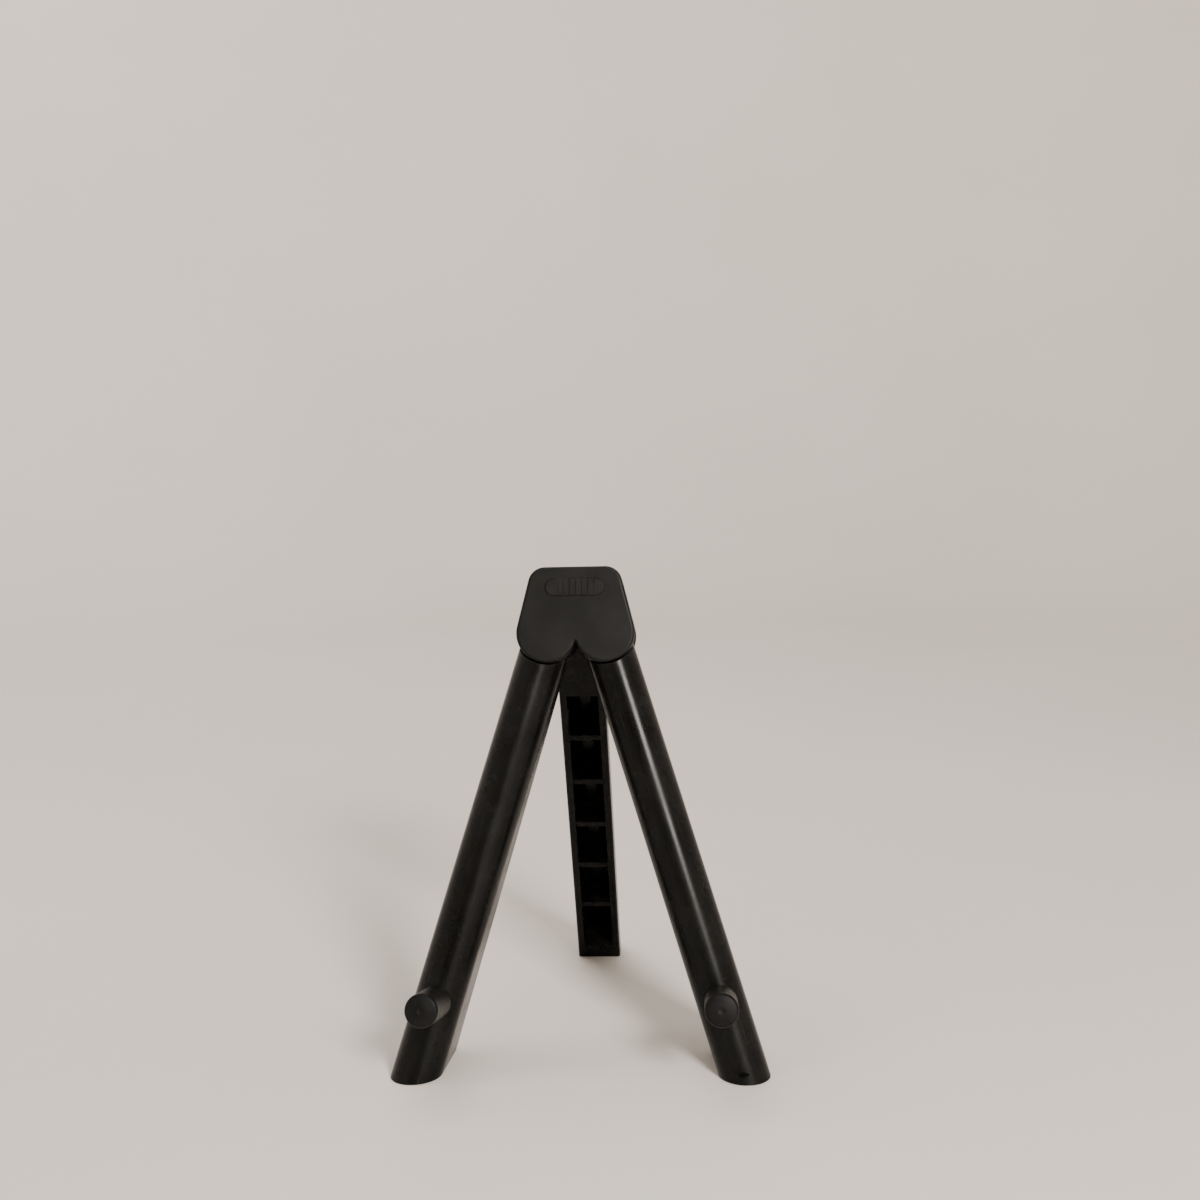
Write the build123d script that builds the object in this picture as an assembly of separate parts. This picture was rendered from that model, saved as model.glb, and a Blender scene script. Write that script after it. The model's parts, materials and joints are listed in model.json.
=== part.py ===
from build123d import *
import math
import os

# Folding three-legged stand for a display plate, in millimetres.
#
# Front legs and head are drawn upright: X to the right, Y to the back, Z up, with the leg axes in
# the plane Y = 0 and Z = 0 where they reach the floor. That plane is then leaned back about the
# X axis. Last, everything moves along Y until the box of the stand is centred on the origin.
# Each leg is drawn on its own first, hanging down from its pin at the origin, round side to -Y.

# ---- stance ----
lean_angle = 16.0             # backward lean of the front legs
splay_angle = 16.9            # outward splay of each front leg, in their common plane
prop_angle = 25.0             # rear leg, from the vertical
foot_spacing = 84.0           # between the two front leg axes, on the floor
pivot_spacing = 15.2          # between the two front pins

# ---- legs ----
leg_width = 12.7
leg_wall = 2.0
front_back_at_foot = 15.7     # tapered back face, behind the leg axis
front_back_at_head = 6.0
rear_open_side = 5.5          # open face of the rear leg, in front of its axis
edge_round = 0.7
foot_edge_round = 0.15
foot_block = 7.0              # solid end of a leg
head_block = 8.0              # solid stretch below the curved shoulder
rib_thickness = 1.6
rib_setback = 1.8             # ribs stop short of the open face
front_rib_count = 4           # between the peg boss and the head
rear_rib_count = 5
ejector_diameter = 3.0        # round flat that an ejector leaves on the floor of the channel
ejector_rise = 0.4            # above the deepest line of that floor

# ---- pivots ----
pin_diameter = 3.0
running_clearance = 0.05      # on the radius
close_clearance = 0.02
tongue_thickness = 5.0        # end of a front leg, inside the head
tongue_reach = 7.0            # above its pin
tongue_corner = 2.0
washer_diameter = 7.6
washer_thickness = 0.5
washer_play = 0.05
rear_pin_back = 12.0          # rear pin behind the front legs' plane
rear_pin_drop = 1.1           # and below the front pins
rear_eye_radius = 5.5
rear_heel_reach = 6.5         # top of the rear leg above its pin
washer_seat_radius = 5.9      # recess for a washer on each side of the rear leg's eye
washer_seat_depth = 0.35
pin_chamfer = 0.3
rivet_head_diameter = 5.6
rivet_head_height = 1.1
stop_gap = 0.05

# ---- head ----
disc_radius = 8.0             # around each front pin
shoulder_gap = 0.5            # between that disc and the leg's curved shoulder
cover_thickness = 3.25
body_thickness = 2.9
head_rise = 17.5              # top of the head above the front pins
head_top_width = 25.0
head_top_corner = 4.5
spacer_height = 8.6
stop_web = 1.8
stop_web_drop = 1.1           # lower end of the web above the front pins
ear_radius = 5.2
ear_thickness = 3.0
ear_rise = 7.5                # an ear's foot on the back plate ends this far above the rear pin
ear_drop = 4.0                # and this far below it
pin_socket_depth = 1.9
head_edge_round = 0.8

# ---- screws and pad ----
screw_spacing = 12.0
screw_drop = 4.6              # below the top of the head
screw_diameter = 2.6
screw_length = 8.6
screw_head_diameter = 5.0
screw_head_height = 1.4
screw_recess = 1.6
screw_slot = 0.6
pad_width = 16.0
pad_height = 5.0
pad_drop = 5.5                # middle of the pad below the top of the head
pad_thickness = 1.4
pad_recess = 0.7

# ---- pegs ----
peg_height = 19.6             # up the leg axis from the floor
peg_reach = 27.5              # end of the peg in front of the legs' plane
sleeve_diameter = 8.3
sleeve_end = 2.4              # thickness of the closed end
sleeve_round = 0.9
sleeve_dome = 0.3
sleeve_gap = 0.3              # between the sleeve and the leg
dimple_radius = 1.0
dimple_depth = 0.15
core_diameter = 4.8
core_chamfer = 0.4
socket_end = 7.6              # blind end of the socket, behind the legs' plane
socket_wall = 1.9
socket_gap = 0.3

# ---- foot pads ----
foot_pad_thickness = 1.4
foot_pad_proud = 0.1
foot_pad_margin = 1.7

# ---- derived ----
leg_radius = leg_width / 2
channel_radius = leg_radius - leg_wall
splay = math.radians(splay_angle)
lean = math.radians(lean_angle)
pin_x = pivot_spacing / 2
pin_z = (foot_spacing / 2 - pin_x) / math.tan(splay)
front_length = pin_z / math.cos(splay)
rear_pin_z = pin_z - rear_pin_drop
rear_turn = lean_angle + prop_angle
rear_pin_height = rear_pin_z * math.cos(lean) - rear_pin_back * math.sin(lean)
rear_length = rear_pin_height / math.cos(math.radians(prop_angle))
peg_drop = front_length - peg_height
shoulder_radius = disc_radius + shoulder_gap
half_gap = tongue_thickness / 2 + washer_thickness + 2 * washer_play
cover_front = -half_gap - cover_thickness
body_back = half_gap + body_thickness
head_top = pin_z + head_rise
rear_eye_width = leg_width - 2 * washer_seat_depth
ear_gap = rear_eye_width + 2 * washer_thickness + 4 * washer_play
ear_outside = ear_gap / 2 + ear_thickness
back_slope = (front_back_at_foot - front_back_at_head) / (front_length - shoulder_radius)
far = 30.0                    # overrun of shapes that are trimmed afterwards
floor_reach = 300.0           # half-width of the slabs that trim the feet


# ---- helpers ----
def rod(direction, radius, start, end):
    """Round bar along X or Y, between two positions on that axis."""
    turn = {"X": Rot(Y=90), "Y": Rot(X=-90)}[direction]
    bar = Cylinder(radius, end - start, align=(Align.CENTER, Align.CENTER, Align.MIN))
    return turn * (Pos(0, 0, start) * bar)


def block(x_range, y_range, z_range):
    """Box between the given limits."""
    limits = (x_range, y_range, z_range)
    middle = [(low + high) / 2 for low, high in limits]
    return Pos(*middle) * Box(*[high - low for low, high in limits])


def arch_bar(radius, back, bottom, top):
    """Bar along Z: half round to -Y, with flat sides as far as back."""
    round_side = Circle(radius) & Pos(0, -radius / 2) * Rectangle(2 * radius, radius)
    outline = round_side + Pos(0, back / 2) * Rectangle(2 * radius, back)
    return Pos(0, 0, bottom) * extrude(outline, top - bottom)


def side_profile(points, half_width):
    """Solid with an outline in Y and Z, the same all along X."""
    return extrude(Plane.YZ * make_face(Polyline(*points, close=True)), half_width, both=True)


def washer(direction, place):
    """Thin washer that starts at place along its axis."""
    ring = rod(direction, washer_diameter / 2, place, place + washer_thickness)
    return ring - rod(direction, pin_diameter / 2 + 2 * running_clearance, -far, far)


def rib(back, below_pin):
    """Cross rib in a leg's channel."""
    half = rib_thickness / 2
    reach = channel_radius + leg_wall / 2
    return block((-reach, reach), (-reach, back), (-below_pin - half, -below_pin + half))


def ejector_mark(below_pin):
    """Round flat on the floor of a leg's channel."""
    start = -channel_radius - leg_wall / 2
    mark = rod("Y", ejector_diameter / 2, start, ejector_rise - channel_radius)
    return Pos(0, 0, -below_pin) * mark


def evenly(first, last, count):
    """Places spaced evenly between two ends, without the ends."""
    step = (last - first) / (count + 1)
    return [first + step * number for number in range(1, count + 1)]


def ejector_marks(first, last, ribs):
    """One mark in the middle of each bay that the ribs leave between two ends."""
    half_bay = (last - first) / (ribs + 1) / 2
    places = evenly(first - half_bay, last + half_bay, ribs + 1)
    return [ejector_mark(below_pin) for below_pin in places]


def without(shape, cuts):
    """The shape with each of the cuts taken away."""
    for cut in cuts:
        shape = shape - cut
    return shape


# ---- front leg, on its own ----
def back_face(below_pin):
    """Distance of the tapered back face behind the leg axis."""
    return front_back_at_head + back_slope * (below_pin - shoulder_radius)


def peg_socket_boss():
    """Boss that carries the peg, webbed to both walls of the channel."""
    boss = rod("Y", core_diameter / 2 + socket_wall, -leg_radius, socket_end + leg_wall)
    return Pos(0, 0, -peg_drop) * boss + rib(socket_end, peg_drop)


def tongue_trim():
    """What is cut away at the top of a front leg to leave its tongue."""
    half = tongue_thickness / 2
    around = rod("Y", shoulder_radius, -far, far)
    around = around + block((-far, far), (-far, far), (0, far))
    cheeks = around - block((-far, far), (-half, half), (-far, 2 * far))
    stop_distance = pin_x - stop_web / 2 - stop_gap
    facet = block((stop_distance, far), (-far, far), (0, far))
    facets = Rot(Y=-splay_angle) * facet
    facets = facets + mirror(facets, about=Plane.YZ)
    return cheeks, facets


def front_leg():
    low = -front_length - far
    leg = arch_bar(leg_radius, far, low, tongue_reach)
    head_end = (front_back_at_head, -shoulder_radius)
    behind = side_profile(
        [
            (back_face(-low), low),
            head_end,
            (front_back_at_head, far),
            (2 * far, far),
            (2 * far, low),
        ],
        leg_width,
    )
    leg = leg - behind
    back_edges = leg.edges().filter_by(lambda edge: edge.center().Y > leg_radius / 2)
    long_edges = back_edges.filter_by(lambda edge: edge.length > leg_width * 2)
    leg = fillet(long_edges.group_by(Axis.Y)[-1], edge_round)

    channel_top = shoulder_radius + head_block
    channel_end = front_length - foot_block
    channel = arch_bar(channel_radius, far, -channel_end, -channel_top)
    rib_places = evenly(channel_top, peg_drop, front_rib_count)
    ribs = [rib(back_face(place) - rib_setback, place) for place in rib_places]
    marks = ejector_marks(channel_top, peg_drop, front_rib_count)
    leg = leg - without(channel, [peg_socket_boss(), *ribs, *marks])

    cheeks, facets = tongue_trim()
    leg = leg - cheeks - facets
    top_corners = leg.edges().filter_by(Axis.Y).group_by(Axis.Z)[-1]
    leg = fillet(top_corners, tongue_corner)
    leg = leg - rod("Y", pin_diameter / 2 + running_clearance, -far, far)
    socket = rod("Y", core_diameter / 2 + running_clearance, -far, socket_end)
    return leg - Pos(0, 0, -peg_drop) * socket


# ---- rear leg, on its own ----
def rear_leg():
    low = -rear_length - far
    leg = arch_bar(leg_radius, rear_open_side, low, rear_heel_reach)
    open_edges = leg.edges().filter_by(Axis.Z).group_by(Axis.Y)[-1]
    leg = fillet(open_edges, edge_round)
    stop_distance = rear_pin_back - body_back - stop_gap
    turn = math.radians(rear_turn)
    touch = (stop_distance * math.cos(turn), stop_distance * math.sin(turn))
    heel_y = (stop_distance - rear_heel_reach * math.sin(turn)) / math.cos(turn)
    keep = side_profile(
        [
            (-far, low),
            (far, low),
            (far, 0),
            (0, 0),
            touch,
            (heel_y, rear_heel_reach),
            (-leg_radius / 2, rear_heel_reach),
            (-leg_radius, leg_radius / 2),
            (-far, leg_radius / 2),
        ],
        far,
    )
    leg = leg & (keep + rod("X", rear_eye_radius, -far, far))
    channel_top = rear_eye_radius + head_block
    channel_end = rear_length - foot_block
    channel = arch_bar(channel_radius, far, -channel_end, -channel_top)
    rib_places = evenly(channel_top, channel_end, rear_rib_count)
    ribs = [rib(rear_open_side - rib_setback, place) for place in rib_places]
    marks = ejector_marks(channel_top, channel_end, rear_rib_count)
    leg = leg - without(channel, [*ribs, *marks])
    washer_seat = rod("X", washer_seat_radius, rear_eye_width / 2, far)
    leg = leg - washer_seat - mirror(washer_seat, about=Plane.YZ)
    return leg - rod("X", pin_diameter / 2 + running_clearance, -far, far)


def foot_pad(back):
    """Long bar with the outline of a foot pad, to be trimmed between two heights."""
    return arch_bar(leg_radius - foot_pad_margin, back - foot_pad_margin, -2 * far, far)


# ---- peg, on its own, pointing to -Y from the leg axis ----
def peg_core():
    tip = peg_reach - sleeve_end
    core = rod("Y", core_diameter / 2, -tip, socket_end - socket_gap)
    return chamfer(core.edges(), core_chamfer)


def peg_sleeve():
    outer = sleeve_diameter / 2
    start = leg_radius + sleeve_gap
    rim = peg_reach - sleeve_dome
    bend = sleeve_round * math.sqrt(0.5)
    corner = (outer - sleeve_round + bend, rim - sleeve_round + bend)
    face_radius = outer - sleeve_round
    outline = [
        Line((0, start), (outer, start)),
        Line((outer, start), (outer, rim - sleeve_round)),
        ThreePointArc((outer, rim - sleeve_round), corner, (face_radius, rim)),
        ThreePointArc((face_radius, rim), (face_radius / 2, rim + 3 * sleeve_dome / 4), (0, peg_reach)),
        Line((0, peg_reach), (0, start)),
    ]
    sleeve = revolve(make_face(Curve() + outline), Axis.Y)
    sleeve = sleeve - rod("Y", core_diameter / 2 + close_clearance, 0, peg_reach - sleeve_end)
    ball_radius = (dimple_radius**2 + dimple_depth**2) / (2 * dimple_depth)
    ball = Pos(0, peg_reach - dimple_depth + ball_radius, 0) * Sphere(ball_radius)
    return Rot(Z=180) * (sleeve - ball)


# ---- head, upright ----
def head_outline():
    """Two discs about the front pins, joined upwards into a rounded top."""
    discs = [Pos(side * pin_x, pin_z) * Circle(disc_radius) for side in (1, -1)]
    corner_x = head_top_width / 2 - head_top_corner
    corner_z = head_top - head_top_corner
    corners = [Pos(side * corner_x, corner_z) * Circle(head_top_corner) for side in (1, -1)]
    around = make_hull((discs[0] + discs[1] + corners[0] + corners[1]).edges())
    upper = around & Pos(0, pin_z + far) * Rectangle(4 * far, 2 * far)
    return discs[0] + discs[1] + upper


def head_plate(start, end):
    """Plate with the head's outline, between two positions along Y."""
    return Pos(0, end, 0) * (Rot(X=90) * extrude(head_outline(), end - start))


def pin_sockets(start, end):
    radius = pin_diameter / 2 + close_clearance
    hole = rod("Y", radius, start, end)
    return Pos(pin_x, 0, pin_z) * hole + Pos(-pin_x, 0, pin_z) * hole


def at_screws(shape):
    """The same shape at both screw places."""
    height = head_top - screw_drop
    return [Pos(side * screw_spacing / 2, 0, height) * shape for side in (1, -1)]


def pad_blank(start, end):
    slot = extrude(SlotOverall(pad_width, pad_height), end - start)
    return Pos(0, end, head_top - pad_drop) * (Rot(X=90) * slot)


def head_cover():
    plate = head_plate(cover_front, -half_gap)
    front_rim = plate.faces().sort_by(Axis.Y)[0].edges()
    cover = fillet(front_rim, head_edge_round)
    spacer = head_plate(-half_gap, half_gap)
    spacer_foot = head_top - spacer_height
    spacer = spacer & block((-far, far), (-far, far), (spacer_foot, head_top + far))
    web_bottom = pin_z + stop_web_drop
    web_top = spacer_foot + spacer_height / 2
    web = block((-stop_web / 2, stop_web / 2), (-half_gap, half_gap), (web_bottom, web_top))
    cover = cover + spacer + web
    cover = cover - pin_sockets(-half_gap - pin_socket_depth, -half_gap)
    cover = cover - pad_blank(cover_front - far, cover_front + pad_recess)
    thread = rod("Y", screw_diameter / 2 + close_clearance, screw_tip() - socket_gap, half_gap)
    return without(cover, at_screws(thread))


def clevis_ear():
    """Ear for the rear pin: a rounded end, spread towards the plate."""
    tip = Pos(rear_pin_back, rear_pin_z) * Circle(ear_radius)
    corners = [
        (body_back - body_thickness / 2, rear_pin_z - ear_drop),
        (rear_pin_back, rear_pin_z - ear_radius),
        (rear_pin_back, rear_pin_z + ear_radius),
        (body_back - body_thickness / 2, rear_pin_z + ear_rise),
    ]
    outline = tip + make_face(Polyline(*corners, close=True))
    return Pos(ear_gap / 2, 0, 0) * extrude(Plane.YZ * outline, ear_thickness)


def head_body():
    plate = head_plate(half_gap, body_back)
    back_rim = plate.faces().sort_by(Axis.Y)[-1].edges()
    body = fillet(back_rim, head_edge_round)
    ear = clevis_ear()
    body = body + ear + mirror(ear, about=Plane.YZ)
    body = body - pin_sockets(half_gap, half_gap + pin_socket_depth)
    rear_hole = rod("X", pin_diameter / 2 + close_clearance, -far, far)
    body = body - Pos(0, rear_pin_back, rear_pin_z) * rear_hole
    passage = rod("Y", screw_diameter / 2 + running_clearance, 0, far)
    recess_radius = screw_head_diameter / 2 + 2 * running_clearance
    passage = passage + rod("Y", recess_radius, body_back - screw_recess, far)
    return without(body, at_screws(passage))


# ---- small metal parts ----
def screw_tip():
    return body_back - screw_recess - screw_length


def head_screw():
    """Round-headed screw with a cross slot, driven from the back."""
    seat = body_back - screw_recess
    shank = rod("Y", screw_diameter / 2, screw_tip(), seat)
    shank = chamfer(shank.edges().group_by(Axis.Y)[0], screw_diameter / 4)
    cap = rod("Y", screw_head_diameter / 2, seat, seat + screw_head_height)
    cap = fillet(cap.edges().group_by(Axis.Y)[-1], screw_head_height / 2)
    half_slot = screw_slot / 2
    reach = screw_head_diameter / 3
    slot_depth = (seat + screw_head_height / 2, seat + 2 * screw_head_height)
    slot = block((-reach, reach), slot_depth, (-half_slot, half_slot))
    cross = slot + Rot(Y=90) * slot
    return shank + cap - cross


def dowel_pin():
    end = half_gap + pin_socket_depth - close_clearance
    pin = rod("Y", pin_diameter / 2, -end, end)
    return chamfer(pin.edges(), pin_chamfer)


def rivet_pin():
    pin = rod("X", pin_diameter / 2, -ear_outside, ear_outside)
    cap = rod("X", rivet_head_diameter / 2, ear_outside, ear_outside + rivet_head_height)
    cap = fillet(cap.edges().group_by(Axis.X)[-1], rivet_head_height * 0.8)
    return pin + cap + mirror(cap, about=Plane.YZ)


def joined(shapes):
    """Separate solids kept apart in one compound."""
    solids = [solid for shape in shapes for solid in shape.solids()]
    return Compound(children=solids)


# ---- the stand on the floor ----
lean_back = Rot(X=-lean_angle)
right_place = lean_back * Pos(pin_x, 0, pin_z) * Rot(Y=-splay_angle)
right_peg_place = right_place * Pos(0, 0, -peg_drop)
rear_place = lean_back * Pos(0, rear_pin_back, rear_pin_z) * Rot(X=rear_turn) * Rot(Z=180)
floor_span = (-floor_reach, floor_reach)
below_foot = block(floor_span, floor_span, (-floor_reach, foot_pad_proud))
pad_layer = block(floor_span, floor_span, (0, foot_pad_thickness))


def standing(leg, pad):
    """A leg cut level just above the floor, with its edge rounded and its pad let in."""
    cut = leg - below_foot
    rim = cut.faces().sort_by(Axis.Z)[0].outer_wire().edges()
    return fillet(rim, foot_edge_round) - pad


right_pad = (right_place * Pos(0, 0, -front_length) * foot_pad(front_back_at_foot)) & pad_layer
rear_pad = (rear_place * Pos(0, 0, -rear_length) * foot_pad(rear_open_side)) & pad_layer

tongue_side = tongue_thickness / 2 + washer_play
front_washers = [washer("Y", tongue_side), washer("Y", -tongue_side - washer_thickness)]
eye_side = rear_eye_width / 2 + washer_play
rear_washers = [washer("X", eye_side), washer("X", -eye_side - washer_thickness)]

right_nodes = {
    "leg": standing(right_place * front_leg(), right_pad),
    "foot_pad": right_pad,
    "leg_pin": right_place * dowel_pin(),
    "leg_washers": joined([right_place * ring for ring in front_washers]),
    "peg": right_peg_place * peg_core(),
    "peg_sleeve": right_peg_place * peg_sleeve(),
}

pad_back = cover_front + pad_recess
nodes = {
    "rear_leg": standing(rear_place * rear_leg(), rear_pad),
    "rear_foot_pad": rear_pad,
    "rear_leg_pin": rear_place * rivet_pin(),
    "rear_leg_washers": joined([rear_place * ring for ring in rear_washers]),
    "head_cover": lean_back * head_cover(),
    "head_body": lean_back * head_body(),
    "head_pad": lean_back * pad_blank(pad_back - pad_thickness, pad_back),
    "head_screws": joined([lean_back * screw for screw in at_screws(head_screw())]),
}
for name, shape in right_nodes.items():
    nodes["right_" + name] = shape
    mirrored = [mirror(solid, about=Plane.YZ) for solid in shape.solids()]
    nodes["left_" + name] = joined(mirrored)

whole = Compound(children=[solid for shape in nodes.values() for solid in shape.solids()])
box = whole.bounding_box()
to_centre = Pos(0, -(box.min.Y + box.max.Y) / 2, 0)

os.makedirs("parts", exist_ok=True)
for name, shape in nodes.items():
    export_step(to_centre * joined([shape]), "parts/" + name + ".step")
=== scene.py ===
import json
import math

import bmesh
import bpy
from mathutils import Matrix, Vector


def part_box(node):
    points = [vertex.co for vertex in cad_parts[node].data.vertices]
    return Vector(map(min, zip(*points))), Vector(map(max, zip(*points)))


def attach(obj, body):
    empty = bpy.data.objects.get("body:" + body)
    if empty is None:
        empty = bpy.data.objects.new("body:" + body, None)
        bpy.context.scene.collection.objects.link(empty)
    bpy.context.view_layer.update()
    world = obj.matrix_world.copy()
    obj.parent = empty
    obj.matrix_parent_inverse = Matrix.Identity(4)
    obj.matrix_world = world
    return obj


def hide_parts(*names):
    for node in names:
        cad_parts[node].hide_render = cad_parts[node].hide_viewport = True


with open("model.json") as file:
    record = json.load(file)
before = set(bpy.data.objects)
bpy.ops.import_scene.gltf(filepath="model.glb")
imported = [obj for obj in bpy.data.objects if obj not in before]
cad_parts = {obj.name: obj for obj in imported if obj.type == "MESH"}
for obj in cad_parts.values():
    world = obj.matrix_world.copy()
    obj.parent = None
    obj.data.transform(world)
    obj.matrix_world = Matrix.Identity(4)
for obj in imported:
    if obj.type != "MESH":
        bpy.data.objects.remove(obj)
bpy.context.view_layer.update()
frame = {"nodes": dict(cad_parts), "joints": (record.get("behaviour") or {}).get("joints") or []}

# Looks of a folding three-legged display stand, in metres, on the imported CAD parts.
# Each surface is a node material whose grain, marks and wear are laid out in the piece's own space.

millimetre = 0.001
micron = 0.000001
sideways = Vector((1, 0, 0))
upright = Vector((0, 0, 1))
merge_distance = 0.1 * micron

# ---- camera: in front, a little to the right and above ----
camera_place = Vector((0.0325, -0.4208, 0.1722))
camera_turn = math.radians(3.61)       # to the left
camera_drop = math.radians(7.43)       # below the horizon
camera_roll = math.radians(-1.48)
camera_lens = 47.35                    # millimetres, on a 36 mm sensor
camera_near = 0.01

# ---- studio: a round floor that curves up into a wall ----
floor_radius = 0.75
cove_radius = 0.45
wall_top = 1.5
cove_steps = 16
wall_sides = 96
stand_middle = (0, 0, 0.05)
air_colour = (0.95, 0.93, 0.9, 1)
air_strength = 0.12

card_place = Vector((-0.1, -0.72, 0.4))
card_width = 0.42
card_height = 0.78
card_thickness = 0.004

# ---- stance of the legs ----
prop_angle = math.radians(25)          # rear leg, from the vertical

# ---- nick low on the right leg, painted as shade with no dent modelled ----
nick_height = 0.85 * millimetre        # where the nick's level meets the right leg's axis
nick_radii = (2.3 * millimetre, 2.3 * millimetre, 1.0 * millimetre)
nick_core = 0.3                        # share of the radii that is fully marked

# ---- head bumper ----
bumper_round = 0.55 * millimetre       # edge radius
bumper_crown = 0.12 * millimetre       # middle above the rounded edge
bumper_round_steps = 6
bumper_crown_steps = 5
bumper_end_steps = 16
bumper_side_steps = 110
groove_spacing = 1.6 * millimetre
groove_depth = 0.22 * millimetre
groove_start = 0.4                     # the wave above this level makes the groove

# ---- colours, from the darker to the lighter patches of each material ----
plastic_shades = ((0.0025, 0.0025, 0.0023), (0.0052, 0.0052, 0.0049))
peg_shades = ((0.0036, 0.0035, 0.0034), (0.0065, 0.0064, 0.0062))
pad_shades = ((0.007, 0.0068, 0.0066), (0.012, 0.0117, 0.0114))
foot_shades = ((0.009, 0.0088, 0.0085), (0.015, 0.0146, 0.0142))
washer_shades = ((0.58, 0.55, 0.48), (0.7, 0.67, 0.6))
paper_shades = ((0.77, 0.72, 0.67), (0.8, 0.75, 0.7))
card_shades = ((0.3, 0.3, 0.3), (0.34, 0.335, 0.33))
pin_tone = (0.56, 0.56, 0.57)
rivet_tone = (0.6, 0.59, 0.57)
screw_tone = (0.52, 0.52, 0.5)
stain_shade = 0.6                      # stained steel, as a share of the clean tone
# painted shade of a small dent: near black, darker than the plastic itself
nick_painted_shade = (0.0008, 0.0007, 0.0006)
scuff_grey = (0.035, 0.034, 0.032)
dust_grey = (0.11, 0.105, 0.1)

# ---- how surfaces shine ----
plastic_ior = 1.49
rubber_ior = 1.45
nylon_ior = 1.53
paper_ior = 1.4
leg_specular = 0.105
nick_specular = 0.015
head_specular = 0.16
rubber_specular = 0.11
washer_depth = (0.0006, 0.0005, 0.0004)     # how far light travels inside nylon
washer_glow = 0.2

# ---- parts of a 0 to 1 pattern over which a change runs its course ----
even = (0.3, 0.7)
even_to_high = (0.3, 0.75)
wide = (0.25, 0.8)
upper = (0.35, 0.7)
speck_peaks = (0.4, 0.75)
rubbed_peaks = (0.52, 0.72)
scratch_peaks = (0.66, 0.74)
looking_up = (0.2, 1.0)
bent_edge = (0.98, 0.75)               # agreement of the rounded and the flat normal
bevel_samples = 4


# ---- node materials ----
class Finish:
    """A node material built round one Principled shader, with textures laid out in metres."""

    def __init__(self, name, metal=0.0, ior=1.5, specular=0.5):
        self.material = bpy.data.materials.new(name)
        self.material.use_nodes = True
        self.tree = self.material.node_tree
        self.shader = self.tree.nodes["Principled BSDF"]
        self.shader.inputs["Metallic"].default_value = metal
        self.shader.inputs["IOR"].default_value = ior
        self.shader.inputs["Specular IOR Level"].default_value = specular
        self.coordinates = self.add("ShaderNodeTexCoord")
        self.place = self.coordinates.outputs["Object"]

    def add(self, kind, inputs=None, **settings):
        """New node. Inputs go by name or number, and each is a value or another node's output."""
        made = self.tree.nodes.new(kind)
        for name, value in settings.items():
            setattr(made, name, value)
        for name, value in (inputs or {}).items():
            self.feed(made.inputs[name], value)
        return made

    def feed(self, socket, value):
        if isinstance(value, bpy.types.NodeSocket):
            self.tree.links.new(value, socket)
        else:
            socket.default_value = value

    def math(self, operation, first, second):
        made = self.add("ShaderNodeMath", {0: first, 1: second}, operation=operation)
        made.use_clamp = operation == "ADD"
        return made.outputs[0]

    def turned(self, along, scale):
        """Coordinates turned until Z runs along a direction, then scaled on each axis."""
        turn = along.rotation_difference(upright).to_euler()
        lined_up = self.add("ShaderNodeMapping", {"Vector": self.place, "Rotation": turn})
        stretched = self.add(
            "ShaderNodeMapping", {"Vector": lined_up.outputs[0], "Scale": scale}
        )
        return stretched.outputs[0]

    def streaks(self, along, scale, detail):
        """Pattern drawn out along a direction, with its repeats in a metre on each axis."""
        return self.noise(1.0, detail, self.turned(along, scale))

    def noise(self, size, detail, place=None, roughness=0.5):
        """Soft random pattern whose blotches are about size across."""
        made = self.add(
            "ShaderNodeTexNoise",
            {
                "Vector": place or self.place,
                "Scale": 1 / size,
                "Detail": detail,
                "Roughness": roughness,
            },
        )
        return made.outputs["Fac"]

    def remap(self, value, course, low=0.0, high=1.0):
        """Low to high while a value runs along a course, with soft ends."""
        start, end = course
        made = self.add(
            "ShaderNodeMapRange",
            {"Value": value, "From Min": start, "From Max": end, "To Min": low, "To Max": high},
            interpolation_type="SMOOTHSTEP",
        )
        return made.outputs["Result"]

    def blend(self, factor, first, second):
        """Mix of two colours."""
        colours = [c if isinstance(c, bpy.types.NodeSocket) else (*c, 1) for c in (first, second)]
        made = self.add(
            "ShaderNodeMix", {0: factor, 6: colours[0], 7: colours[1]}, data_type="RGBA"
        )
        return made.outputs[2]

    def marked(self, colour, mark, tint, amount):
        """A colour with another laid over it on a mark."""
        return self.blend(self.math("MULTIPLY", mark, amount), colour, tint)

    def duller(self, gloss, mark, by):
        """Roughness that is higher on a mark, or lower when it is by a negative amount."""
        return self.math("ADD", gloss, self.math("MULTIPLY", mark, by))

    def spot(self, place, radii):
        """1 at a place, falling to 0 at an ellipsoid round it."""
        scale = [1 / radius for radius in radii]
        centre = [-part * factor for part, factor in zip(place, scale)]
        local = self.add(
            "ShaderNodeMapping", {"Vector": self.place, "Location": centre, "Scale": scale}
        )
        reach = self.add("ShaderNodeVectorMath", {0: local.outputs[0]}, operation="LENGTH")
        return self.remap(reach.outputs["Value"], (1.0, nick_core))

    def worn_edges(self, width):
        """1 on sharp outer and inner edges, 0 on flat stretches, broken up a little."""
        rounded = self.add("ShaderNodeBevel", {"Radius": width}, samples=bevel_samples)
        flat = self.add("ShaderNodeNewGeometry").outputs["Normal"]
        agree = self.add(
            "ShaderNodeVectorMath", {0: rounded.outputs[0], 1: flat}, operation="DOT_PRODUCT"
        )
        edge = self.remap(agree.outputs["Value"], bent_edge)
        patches = self.remap(self.noise(size=2.5 * millimetre, detail=4), upper)
        return self.math("MULTIPLY", edge, patches)

    def dust(self, amount):
        """Fine dust on faces that look up when the piece is at rest."""
        normal = self.coordinates.outputs["Normal"]
        upward = self.add("ShaderNodeSeparateXYZ", {0: normal}).outputs["Z"]
        level = self.remap(upward, looking_up, high=amount)
        specks = self.noise(size=0.35 * millimetre, detail=6, roughness=0.7)
        return self.math("MULTIPLY", level, self.remap(specks, speck_peaks))

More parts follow.
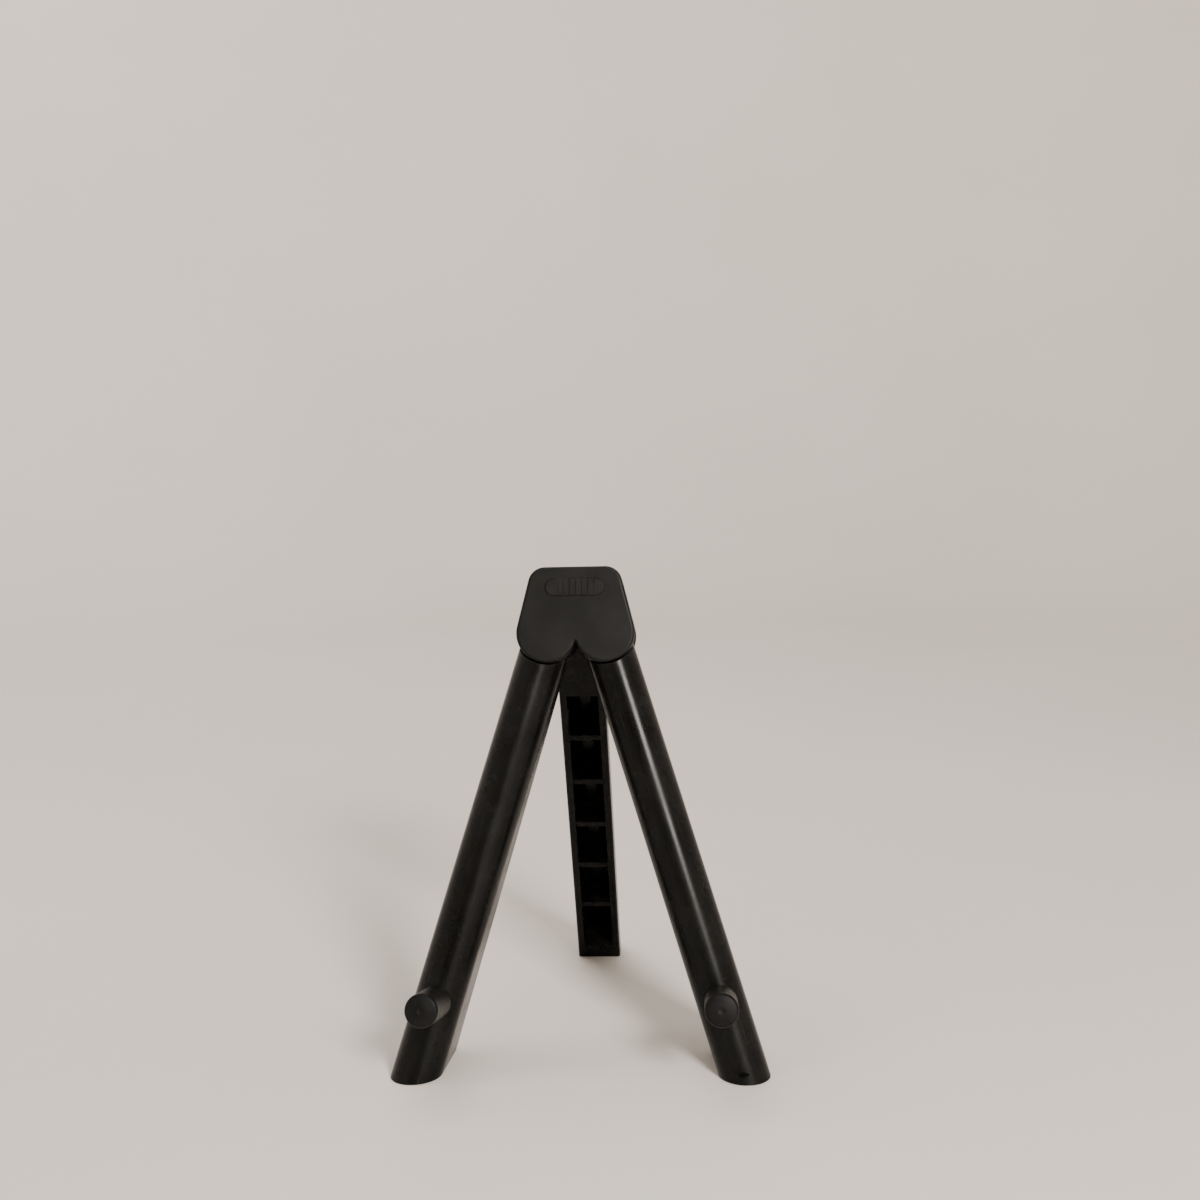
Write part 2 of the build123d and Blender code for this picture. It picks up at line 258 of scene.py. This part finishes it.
    def bump(self, height, depth, below=None):
        """Relief of the given depth, over another relief when one is given."""
        inputs = {"Height": height, "Distance": depth, "Strength": 1.0}
        if below:
            inputs["Normal"] = below
        return self.add("ShaderNodeBump", inputs).outputs[0]

    def finish(self, colour, roughness, relief):
        self.feed(self.shader.inputs["Base Color"], colour)
        self.feed(self.shader.inputs["Roughness"], roughness)
        self.feed(self.shader.inputs["Normal"], relief)
        return self.material


def leg_plastic(name, along, nick):
    """Black semi-gloss moulded plastic, with flow marks along the leg and maybe a nick painted as a
    dark shaded spot.
    """
    skin = Finish(name, ior=plastic_ior, specular=leg_specular)
    flow = skin.streaks(along, scale=(700, 700, 22), detail=3)
    clouds = skin.noise(size=9 * millimetre, detail=3)
    peel = skin.noise(size=1.3 * millimetre, detail=2)
    grain = skin.noise(size=0.22 * millimetre, detail=3)
    scratches = skin.streaks(along, scale=(2600, 1100, 60), detail=2)
    scratched = skin.remap(scratches, scratch_peaks)
    edges = skin.worn_edges(width=0.45 * millimetre)

    colour = skin.blend(skin.remap(clouds, even_to_high), *plastic_shades)
    colour = skin.marked(colour, scratched, scuff_grey, amount=0.12)
    colour = skin.marked(colour, edges, scuff_grey, amount=0.55)
    colour = skin.blend(skin.dust(amount=0.35), colour, dust_grey)
    gloss = skin.remap(clouds, wide, low=0.19, high=0.27)
    gloss = skin.duller(gloss, flow, by=0.05)
    gloss = skin.duller(gloss, edges, by=0.12)
    gloss = skin.duller(gloss, scratched, by=0.08)
    if nick:
        # painted shade of a nick: the colour goes near black and the shine gets duller, with no
        # dent in the surface
        nick_shade_mask = skin.spot(nick, nick_radii)
        colour = skin.marked(colour, nick_shade_mask, nick_painted_shade, amount=0.8)
        gloss = skin.duller(gloss, nick_shade_mask, by=0.3)
        shine = skin.remap(nick_shade_mask, (0.0, 1.0), low=leg_specular, high=nick_specular)
        skin.feed(skin.shader.inputs["Specular IOR Level"], shine)
    relief = skin.bump(peel, depth=14 * micron)
    relief = skin.bump(flow, depth=5 * micron, below=relief)
    relief = skin.bump(grain, depth=2.2 * micron, below=relief)
    return skin.finish(colour, gloss, relief)


def head_plastic():
    """The same plastic from a finely spark-eroded mould."""
    skin = Finish("head_plastic", ior=plastic_ior, specular=head_specular)
    clouds = skin.noise(size=7 * millimetre, detail=3)
    spark = skin.noise(size=0.28 * millimetre, detail=4, roughness=0.7)
    peel = skin.noise(size=1.6 * millimetre, detail=2)
    edges = skin.worn_edges(width=0.4 * millimetre)

    colour = skin.blend(skin.remap(clouds, even_to_high), *plastic_shades)
    colour = skin.marked(colour, edges, scuff_grey, amount=0.6)
    colour = skin.blend(skin.dust(amount=0.45), colour, dust_grey)
    gloss = skin.remap(clouds, wide, low=0.38, high=0.48)
    gloss = skin.duller(gloss, spark, by=0.08)
    relief = skin.bump(peel, depth=8 * micron)
    relief = skin.bump(spark, depth=7 * micron, below=relief)
    return skin.finish(colour, gloss, relief)


def rubber(name, shades, shiniest, dullest, grain_depth):
    """Matt rubber with a fine grain and a few rubbed patches."""
    skin = Finish(name, ior=rubber_ior, specular=rubber_specular)
    clouds = skin.noise(size=4 * millimetre, detail=4)
    rubbed = skin.remap(skin.noise(size=2 * millimetre, detail=3), rubbed_peaks)
    grain = skin.noise(size=0.3 * millimetre, detail=4, roughness=0.65)
    edges = skin.worn_edges(width=0.35 * millimetre)

    colour = skin.blend(skin.remap(clouds, even), *shades)
    colour = skin.marked(colour, edges, scuff_grey, amount=0.35)
    gloss = skin.remap(clouds, even_to_high, low=shiniest, high=dullest)
    gloss = skin.duller(gloss, rubbed, by=-0.08)
    relief = skin.bump(clouds, depth=10 * micron)
    relief = skin.bump(grain, depth=grain_depth, below=relief)
    return skin.finish(colour, gloss, relief)


def steel(name, along, tone):
    """Plated steel with fine turning marks round an axis and darker stains."""
    skin = Finish(name, metal=1.0)
    turning = skin.streaks(along, scale=(900, 900, 9000), detail=2)
    stains = skin.noise(size=1.4 * millimetre, detail=4)
    edges = skin.worn_edges(width=0.25 * millimetre)

    stained = [stain_shade * part for part in tone]
    colour = skin.blend(skin.remap(stains, upper), stained, tone)
    gloss = skin.remap(stains, even, low=0.22, high=0.4)
    gloss = skin.duller(gloss, edges, by=0.1)
    return skin.finish(colour, gloss, skin.bump(turning, depth=3 * micron))


def nylon():
    """Off-white nylon, slightly translucent."""
    skin = Finish("washer_nylon", ior=nylon_ior)
    clouds = skin.noise(size=2 * millimetre, detail=3)
    grain = skin.noise(size=0.25 * millimetre, detail=3)
    skin.shader.inputs["Subsurface Weight"].default_value = washer_glow
    skin.shader.inputs["Subsurface Radius"].default_value = washer_depth
    colour = skin.blend(skin.remap(clouds, even), *washer_shades)
    gloss = skin.remap(grain, even, low=0.38, high=0.5)
    return skin.finish(colour, gloss, skin.bump(grain, depth=4 * micron))


def paper(name, shades, blotch_size, shiniest, dullest):
    """Matt paper or card, slightly blotchy, with fine fibres."""
    skin = Finish(name, ior=paper_ior)
    tone = skin.noise(size=blotch_size, detail=3)
    fibres = skin.noise(size=1.2 * millimetre, detail=5, roughness=0.65)
    colour = skin.blend(skin.remap(tone, even), *shades)
    gloss = skin.remap(fibres, even, low=shiniest, high=dullest)
    return skin.finish(colour, gloss, skin.bump(fibres, depth=12 * micron))


def studio_paper():
    """Off-white paper for the floor and the wall."""
    return paper("studio_paper", paper_shades, blotch_size=0.25, shiniest=0.55, dullest=0.65)


def grey_card():
    return paper("card_grey", card_shades, blotch_size=0.1, shiniest=0.7, dullest=0.8)


# ---- directions that the surface marks follow ----
def joint(name):
    return next(entry for entry in frame["joints"] if entry["name"] == name)


def peg_direction():
    """Straight out of the front legs, the way that the pegs pull."""
    return Vector(joint("right_peg_pull")["axis"])


def front_leg_direction(side):
    """Up along a front leg: its fold joint's plane, splayed by the joint's whole range."""
    fold = joint(side + "_leg_fold")
    axis = Vector(fold["axis"])
    in_plane = sideways.cross(axis)
    if in_plane.z < 0:
        in_plane = -in_plane
    splay = math.radians(fold["range_deg"][1])
    return Matrix.Rotation(-splay, 3, axis) @ in_plane


def leg_directions():
    return {
        "left_leg": front_leg_direction("left"),
        "right_leg": front_leg_direction("right"),
        "rear_leg": Vector((0, -math.sin(prop_angle), math.cos(prop_angle))),
    }


def nick_on_right_leg(along):
    """On the crest of the leg's round front, just above the floor."""
    pivot = Vector(joint("right_leg_fold")["pos_m"])
    foot = pivot - along * (pivot.z - nick_height) / along.z
    low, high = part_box("rear_leg")
    leg_radius = (high.x - low.x) / 2
    return foot + peg_direction() * leg_radius


# ---- CAD nodes take their finishes ----
def dress(node, finish):
    """Gives one material to every slot of a CAD node."""
    for slot in frame["nodes"][node].material_slots:
        slot.material = finish


def dress_legs():
    for leg, along in leg_directions().items():
        nick = nick_on_right_leg(along) if leg == "right_leg" else None
        dress(leg, leg_plastic(leg + "_plastic", along, nick))


def dress_head():
    plastic = head_plastic()
    dress("head_body", plastic)
    dress("head_cover", plastic)
    dress("head_screws", steel("screw_steel", peg_direction(), screw_tone))
    pad_grip = rubber("pad_rubber", pad_shades, shiniest=0.58, dullest=0.7, grain_depth=7 * micron)
    head_bumper(pad_grip)


def dress_small_parts():
    peg_grip = rubber("peg_rubber", peg_shades, shiniest=0.4, dullest=0.52, grain_depth=5 * micron)
    foot_grip = rubber(
        "foot_rubber", foot_shades, shiniest=0.66, dullest=0.78, grain_depth=9 * micron
    )
    pin_steel = steel("pin_steel", peg_direction(), pin_tone)
    washer = nylon()
    for side in ("left_", "right_"):
        dress(side + "peg_sleeve", peg_grip)
        dress(side + "foot_pad", foot_grip)
        dress(side + "peg", pin_steel)
        dress(side + "leg_pin", pin_steel)
        dress(side + "leg_washers", washer)
    dress("rear_foot_pad", foot_grip)
    dress("rear_leg_washers", washer)
    dress("rear_leg_pin", steel("rivet_steel", sideways, rivet_tone))


# ---- mesh pieces ----
def skin_over(name, rings, finish, closed=False):
    """Joins closed rings of points in order into a smooth sheet, and merges points that meet."""
    shape = bmesh.new()
    loops = [[shape.verts.new(point) for point in ring] for ring in rings]
    for low, high in zip(loops, loops[1:]):
        for here, after in zip(range(len(low)), [*range(1, len(low)), 0]):
            shape.faces.new((low[here], low[after], high[after], high[here]))
    if closed:
        shape.faces.new(reversed(loops[0]))
    bmesh.ops.remove_doubles(shape, verts=shape.verts, dist=merge_distance)
    bmesh.ops.recalc_face_normals(shape, faces=shape.faces)
    mesh = bpy.data.meshes.new(name)
    shape.to_mesh(mesh)
    shape.free()
    mesh.shade_smooth()
    mesh.materials.append(finish)
    piece = bpy.data.objects.new(name, mesh)
    bpy.context.scene.collection.objects.link(piece)
    return piece


def span(node, direction):
    """Lowest and highest place of a CAD node along a direction."""
    places = [direction.dot(vertex.co) for vertex in frame["nodes"][node].data.vertices]
    return min(places), max(places)


# ---- rubber bumper that the plate leans on ----
def slot_outline(half_length, radius):
    """Points round a slot: along one side, round an end, back along the other and round."""
    points = []
    for side in (1, -1):
        for step in range(bumper_side_steps):
            across = half_length * (2 * step / bumper_side_steps - 1)
            points.append((side * across, -side * radius))
        for step in range(bumper_end_steps):
            turn = math.pi * (step / bumper_end_steps - 0.5)
            across = half_length + radius * math.cos(turn)
            points.append((side * across, side * radius * math.sin(turn)))
    return points


def bumper_profile(radius):
    """From the outline inwards to the middle: distance in, and depth below the crown."""
    profile = []
    for step in range(bumper_round_steps + 1):
        turn = math.pi / 2 * step / bumper_round_steps
        depth = bumper_crown + bumper_round * (1 - math.sin(turn))
        profile.append((bumper_round * (1 - math.cos(turn)), depth))
    for step in range(1, bumper_crown_steps + 1):
        part = step / bumper_crown_steps
        inwards = bumper_round + (radius - bumper_round) * part
        profile.append((inwards, bumper_crown * (1 - part) ** 2))
    return profile


def groove_at(across, half_length):
    """Depth of the cross grooves, which fade out before the round ends."""
    wave = math.cos(2 * math.pi * across / groove_spacing)
    shape = max(0.0, (wave - groove_start) / (1 - groove_start))
    room = (half_length - abs(across)) / groove_spacing
    return groove_depth * shape * min(1.0, max(0.0, room))


def head_bumper(finish):
    """Slot-shaped rubber strip with a rounded edge, a slight crown and cross grooves."""
    forward = peg_direction()
    upward = forward.cross(sideways)
    back, front = span("head_pad", forward)
    low, high = span("head_pad", upward)
    left, right = span("head_pad", sideways)
    radius = (high - low) / 2
    half_length = (right - left) / 2 - radius
    middle = upward * (low + high) / 2

    def place(across, height, level):
        return sideways * across + middle + upward * height + forward * level

    rings = [[place(*point, back) for point in slot_outline(half_length, radius)]]
    for inwards, depth in bumper_profile(radius):
        ring = []
        cut = min(1.0, inwards / bumper_round)
        for across, height in slot_outline(half_length, radius - inwards):
            level = front - depth - cut * groove_at(across, half_length)
            ring.append(place(across, height, level))
        rings.append(ring)
    bumper = skin_over("head_bumper", rings, finish, closed=True)
    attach(bumper, "head")
    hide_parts("head_pad")


# ---- studio ----
def circle(radius, height):
    turns = [2 * math.pi * side / wall_sides for side in range(wall_sides)]
    return [(radius * math.cos(turn), radius * math.sin(turn), height) for turn in turns]


def studio_room():
    """Round floor that curves up into a wall, in one smooth sheet."""
    rings = [circle(0.0, 0.0), circle(floor_radius, 0.0)]
    for step in range(1, cove_steps + 1):
        turn = math.pi / 2 * step / cove_steps
        across = floor_radius + cove_radius * math.sin(turn)
        rings.append(circle(across, cove_radius * (1 - math.cos(turn))))
    rings.append(circle(floor_radius + cove_radius, wall_top))
    skin_over("studio_room", rings, studio_paper())


def dark_card():
    """Grey card behind the camera. It shows only as a darker band in the glossy legs."""
    half, thick = card_width / 2, card_thickness / 2
    corners = [(-half, -thick), (half, -thick), (half, thick), (-half, thick)]
    rings = []
    for height in (-card_height / 2, card_height / 2):
        rings.append([card_place + Vector((across, depth, height)) for across, depth in corners])
    card = skin_over("dark_card", rings, grey_card())
    card.visible_camera = False
    card.visible_shadow = False


def soft_light(name, place, target, size, power, colour):
    """Rectangular area light at a place, turned to a target."""
    light = bpy.data.lights.new(name, "AREA")
    light.shape = "RECTANGLE"
    light.size, light.size_y = size
    light.energy = power
    light.color = colour
    lamp = bpy.data.objects.new(name, light)
    lamp.location = place
    lamp.rotation_euler = (Vector(target) - Vector(place)).to_track_quat("-Z", "Y").to_euler()
    bpy.context.scene.collection.objects.link(lamp)


def studio_lights():
    soft_light(
        "window",
        place=(0.45, -0.92, 0.58),
        target=stand_middle,
        size=(0.24, 0.24),
        power=18,
        colour=(1.0, 0.95, 0.89),
    )
    soft_light(
        "ceiling",
        place=(-0.1, 0.1, 1.25),
        target=stand_middle,
        size=(0.9, 0.9),
        power=4.2,
        colour=(0.98, 0.97, 0.95),
    )
    soft_light(
        "wall",
        place=(-0.4, 0.1, 1.0),
        target=(-0.85, 0.9, 0.42),
        size=(0.6, 0.4),
        power=6,
        colour=(1.0, 0.97, 0.94),
    )


def studio_air():
    """Faint even light from all round."""
    world = bpy.data.worlds.new("studio_air")
    world.use_nodes = True
    air = world.node_tree.nodes["Background"]
    air.inputs["Color"].default_value = air_colour
    air.inputs["Strength"].default_value = air_strength
    bpy.context.scene.world = world


def studio_camera():
    camera = bpy.data.cameras.new("front_view")
    camera.lens = camera_lens
    camera.clip_start = camera_near
    holder = bpy.data.objects.new("front_view", camera)
    place = Matrix.Translation(camera_place)
    turn = Matrix.Rotation(camera_turn, 4, "Z")
    drop = Matrix.Rotation(math.pi / 2 - camera_drop, 4, "X")
    roll = Matrix.Rotation(camera_roll, 4, "Z")
    holder.matrix_world = place @ turn @ drop @ roll
    bpy.context.scene.collection.objects.link(holder)
    bpy.context.scene.camera = holder


studio_camera()
studio_room()
dark_card()
studio_lights()
studio_air()
dress_legs()
dress_head()
dress_small_parts()
